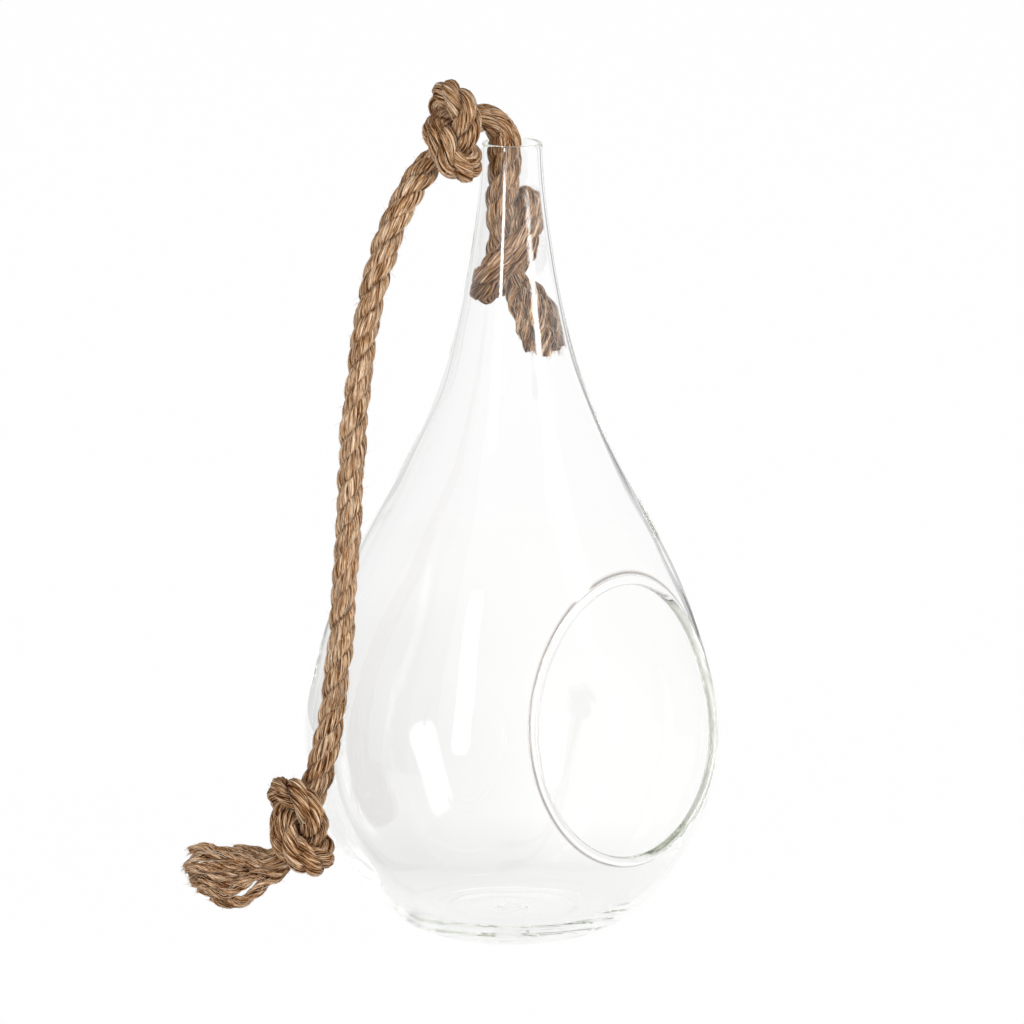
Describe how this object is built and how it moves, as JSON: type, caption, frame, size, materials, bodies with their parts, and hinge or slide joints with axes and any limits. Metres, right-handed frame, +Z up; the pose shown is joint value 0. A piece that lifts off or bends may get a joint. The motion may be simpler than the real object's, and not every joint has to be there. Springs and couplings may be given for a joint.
{
  "type": "propagation vase",
  "caption": "Drop-shaped clear glass vase with a narrow open neck and a large round side window, and a knotted rope through the neck that hangs down beside it.",
  "frame": {"origin": "centre of the base, on the table", "axes": "+Z up along the vessel's axis, -Y out of the side window, the rope hangs on the -X side"},
  "size_m": [0.2116, 0.1478, 0.325],
  "materials": {
    "glass": "gloss",
    "jute": "matte"
  },
  "bodies": {
    "vessel": {"glass_vessel": "glass"},
    "rope_top": {"rope_tail_inner": "jute", "stopper_knot": "jute", "rope_neck": "jute", "upper_knot": "jute"},
    "rope_end": {"rope_drop": "jute", "lower_knot": "jute", "rope_tail_outer": "jute"}
  },
  "joints": [
    {"name": "rope_swivel", "type": "hinge", "parent": "vessel", "child": "rope_top", "pos_m": [0, 0, 0.29], "axis": [0, 0, 1], "continuous": true},
    {"name": "rope_swing", "type": "hinge", "parent": "rope_top", "child": "rope_end", "pos_m": [-0.03727, 0.0085, 0.29171], "axis": [0.055, 0.9985, 0], "range_deg": [0, 90]}
  ]
}
